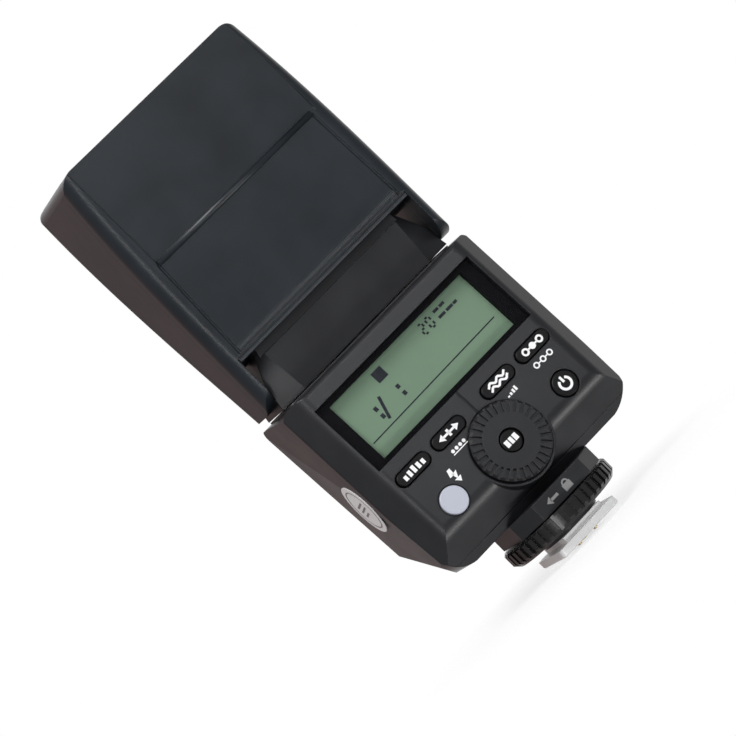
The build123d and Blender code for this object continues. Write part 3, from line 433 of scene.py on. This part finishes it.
dots += line([(-2.3, -0.8), (2.3, -0.8)], 0.25)
sign("custom_sign", "body", ink, dots, (-9.0, -18.6), ON_PANEL)
steps = [shape for i in range(4) for shape in block(-1.5 + i * 0.85, -0.6, -0.95 + i * 0.85, -0.2 + i * 0.27)]
sign("steps_sign", "body", ink, steps, (8.9, -18.8), ON_PANEL)
rings = [shape for x in (-2.2, 0, 2.2) for shape in arc((x, 0), 0.62, 0, 360, 0.36)]
rings += line([(-1.5, 0), (-0.8, 0)], 0.3) + line([(0.8, 0), (1.5, 0)], 0.3)
sign("channel_sign", "body", ink, rings, (19.8, -18.8), ON_PANEL)

# ------------------------------------------------------------------ the display's segments
LCD_TOP = -3.34  # the display's face, under the panel's


def digit(lit, wide, tall, thick):
    """A seven-segment numeral; lit names its bars: a top, then clockwise b to f, g the middle one."""
    w, h, g = wide / 2, tall / 2, thick * 0.55
    ends = {
        "a": ((-w + g, h), (w - g, h)),
        "b": ((w, h - g), (w, g)),
        "c": ((w, -g), (w, -h + g)),
        "d": ((-w + g, -h), (w - g, -h)),
        "e": ((-w, -g), (-w, -h + g)),
        "f": ((-w, h - g), (-w, g)),
        "g": ((-w + g, 0), (w - g, 0)),
    }
    return [quad for name in lit for quad in line(ends[name], thick)]


def moved(shapes, x, y):
    """Shapes moved by x and y."""
    return [[(p[0] + x, p[1] + y) for p in shape] for shape in shapes]


segments = moved(digit("bc", 0, 4.4, 0.95), -14.7, -0.4) + line([(-14.0, -3.0), (-12.1, 2.3)], 0.75)
segments += moved(digit("bc", 0, 4.2, 0.95), -7.2, -0.3)
segments += moved(block(-1.5, -1.45, 1.5, 1.45), -8.1, 5.6)
segments += moved(digit("abged", 1.25, 2.7, 0.5), 6.9, 5.7) + moved(digit("abcdef", 1.25, 2.7, 0.5), 9.2, 5.7)
for x, y, wide in ((11.4, 6.7, 1.6), (13.4, 6.7, 1.6), (11.4, 4.9, 2.1), (13.9, 4.9, 2.1), (16.2, 4.9, 1.2)):
    segments += block(x, y - 0.35, x + wide, y + 0.35)
segments += line([(-21.0, -4.3), (20.5, -3.9)], 0.28)
sign("display_segments", "body", segment_ink, segments, (0, 0), LCD_TOP)

# ------------------------------------------------------------------ signs on the shoe mount and the sticker
# the flat rear face of the shoe mount, and the face of the sticker on the left-hand wall
mount_plane = (Vector((0, -13.2, 11.7)) * MM, ACROSS, Vector((0, 0, 1)), Vector((0, -1, 0)))
lock = block(-4.6, -0.35, -2.2, 0.35) + [[(-5.8, 0), (-4.4, -1.0), (-4.4, 1.0)]]
lock += block(-0.4, -1.2, 2.0, 0.5) + arc((0.8, 0.5), 0.75, 0, 180, 0.4)
sticker_out = Vector((-0.99705, 0.0760, -0.0101))
sticker_middle = Vector((-30.44, 4.8, 39.4)) * MM + sticker_out * 0.13 * MM
sticker = (sticker_middle, PANEL_UP.cross(sticker_out), PANEL_UP, sticker_out)
mark = arc((0, 0), 5.5, 0, 360, 0.3, 40) + block(-2.8, 1.1, 2.8, 1.6) + block(-2.8, -0.25, 2.8, 0.25)
mark += block(-2.8, -1.6, 1.2, -1.1)
sign("sticker_mark", "body", grey_ink, mark, plane=sticker)
sign("lock_sign", "body", grey_ink, lock, (1.0, 0), ON_PANEL, plane=mount_plane)

# ------------------------------------------------------------------ the ridge across the head's rear face
# The CAD's own ridge ends half way across, a fault of its cover; this one lies over it at full width.
RIDGE_MIDDLE = Vector((0, -1.35, 111.2)) * MM
RIDGE_R, RIDGE_LONG = 0.85 * MM, 51.0 * MM

ridge_mesh = bpy.data.meshes.new("face_ridge")
form = bmesh.new()
lie = Matrix.Translation(RIDGE_MIDDLE) @ Matrix.Rotation(math.radians(90), 4, "Y")
bmesh.ops.create_cone(
    form, cap_ends=True, segments=32, radius1=RIDGE_R, radius2=RIDGE_R, depth=RIDGE_LONG, matrix=lie
)
for face in form.faces:
    face.smooth = len(face.verts) == 4
form.to_mesh(ridge_mesh)
form.free()
ridge_mesh.materials.append(SLOTS["head_black"])
ridge = bpy.data.objects.new("face_ridge", ridge_mesh)
bpy.context.scene.collection.objects.link(ridge)
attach(ridge, "head")
